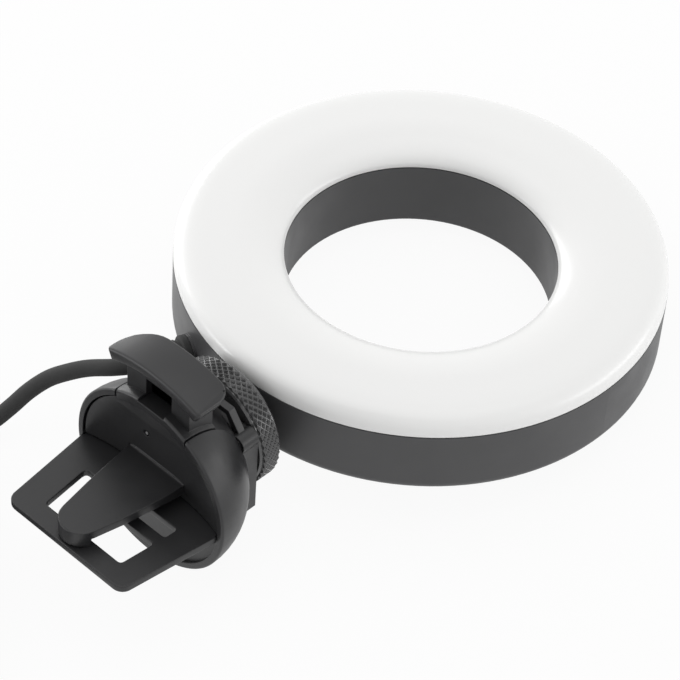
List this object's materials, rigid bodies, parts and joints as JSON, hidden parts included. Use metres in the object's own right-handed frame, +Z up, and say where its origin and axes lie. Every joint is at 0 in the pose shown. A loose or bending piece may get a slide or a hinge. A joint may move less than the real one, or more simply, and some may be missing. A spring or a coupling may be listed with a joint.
{
  "type": "round led fill light",
  "caption": "Ring-shaped LED lamp head with a milky diffuser, on a lockable ball joint with a spring clip for a screen's edge, fed by a lead with inline controls and a USB plug.",
  "frame": {"origin": "centre of the bottom of the light's box (without its lead), on the surface it lies on", "axes": "+Z up from the surface the light lies on; the clip points along -Y and the lamp head lies at +Y; the light's face looks up, leaning 7 degrees towards +Y; X runs across the clip"},
  "size_m": [0.1785, 0.2483, 0.0596],
  "materials": {
    "charcoal_plastic": "satin charcoal moulding",
    "black_plastic": "fine-textured black moulding",
    "milky_diffuser": "glossy milky white",
    "white_board": "white solder mask",
    "green_board": "green solder mask",
    "warm_led": "amber phosphor",
    "cool_led": "pale yellow phosphor",
    "dark_screw": "blackened steel",
    "zinc_steel": "bright zinc plating",
    "zinc_alloy": "black coated zinc alloy",
    "nylon": "natural nylon",
    "spring_steel": "bright wire",
    "black_pvc": "satin black PVC",
    "button_plastic": "satin dark grey",
    "tie_fabric": "black woven tape",
    "nickel_shell": "nickel-plated sheet",
    "gold_contact": "gold flash"
  },
  "bodies": {
    "ring": {"ring_housing": "charcoal_plastic", "rear_cover": "charcoal_plastic", "cover_screws": "dark_screw", "front_diffuser": "milky_diffuser", "led_board": "white_board", "leds_warm": "warm_led", "leds_cool": "cool_led", "board_screws": "zinc_steel", "stud_screw": "zinc_steel", "strain_relief": "black_pvc", "cord_lead": "black_pvc", "controller_bottom": "black_plastic", "controller_top": "black_plastic", "controller_board": "green_board", "tact_switches": "zinc_steel", "cord_mid": "black_pvc", "cord_coil": "black_pvc", "cord_tie": "tie_fabric", "cord_tail": "black_pvc", "plug_overmould": "black_pvc", "plug_shell": "nickel_shell", "plug_insulator": "nylon", "plug_contacts": "gold_contact"},
    "ball": {"ball_stud": "zinc_alloy"},
    "liner": {"ball_liner": "nylon"},
    "clip": {"socket_collet": "black_plastic", "clip_housing": "black_plastic", "fixed_jaw": "black_plastic", "hinge_pin": "zinc_steel", "torsion_spring": "spring_steel"},
    "nut": {"knurled_collar": "black_plastic"},
    "jaw": {"jaw_lever": "black_plastic"},
    "power_key": {"power_button": "button_plastic"},
    "mode_key": {"mode_button": "button_plastic"},
    "plus_key": {"plus_button": "button_plastic"},
    "minus_key": {"minus_button": "button_plastic"}
  },
  "joints": [
    {"name": "clip_spin", "type": "hinge", "parent": "ring", "child": "ball", "pos_m": [0, -0.04089, 0.02387], "axis": [0, -0.9926, 0.1213], "range_deg": [-180, 45]},
    {"name": "clip_tilt", "type": "hinge", "parent": "ball", "child": "liner", "pos_m": [0, -0.04089, 0.02387], "axis": [1, 0, 0], "range_deg": [-11, 11]},
    {"name": "clip_swing", "type": "hinge", "parent": "liner", "child": "clip", "pos_m": [0, -0.04089, 0.02387], "axis": [0, 0.1213, 0.9926], "range_deg": [-11, 11]},
    {"name": "collar_turn", "type": "hinge", "parent": "clip", "child": "nut", "pos_m": [0, -0.03791, 0.0235], "axis": [0, -0.9926, 0.1213], "range_deg": [0, 120]},
    {"name": "jaw_open", "type": "hinge", "parent": "clip", "child": "jaw", "pos_m": [0, -0.05766, 0.0243], "axis": [-1, 0, 0], "range_deg": [0, 18], "stiffness_Nm_per_rad": 0.25, "springref_deg": -28.65, "deforming": ["torsion_spring"]},
    {"name": "power_press", "type": "slide", "parent": "ring", "child": "power_key", "axis": [0, 0, -1], "range_m": [0, 0.0006], "stiffness_N_per_m": 1200, "springref_m": -0.0004},
    {"name": "mode_press", "type": "slide", "parent": "ring", "child": "mode_key", "axis": [0, 0, -1], "range_m": [0, 0.0006], "stiffness_N_per_m": 1200, "springref_m": -0.0004},
    {"name": "plus_press", "type": "slide", "parent": "ring", "child": "plus_key", "axis": [0, 0, -1], "range_m": [0, 0.0006], "stiffness_N_per_m": 1200, "springref_m": -0.0004},
    {"name": "minus_press", "type": "slide", "parent": "ring", "child": "minus_key", "axis": [0, 0, -1], "range_m": [0, 0.0006], "stiffness_N_per_m": 1200, "springref_m": -0.0004}
  ]
}
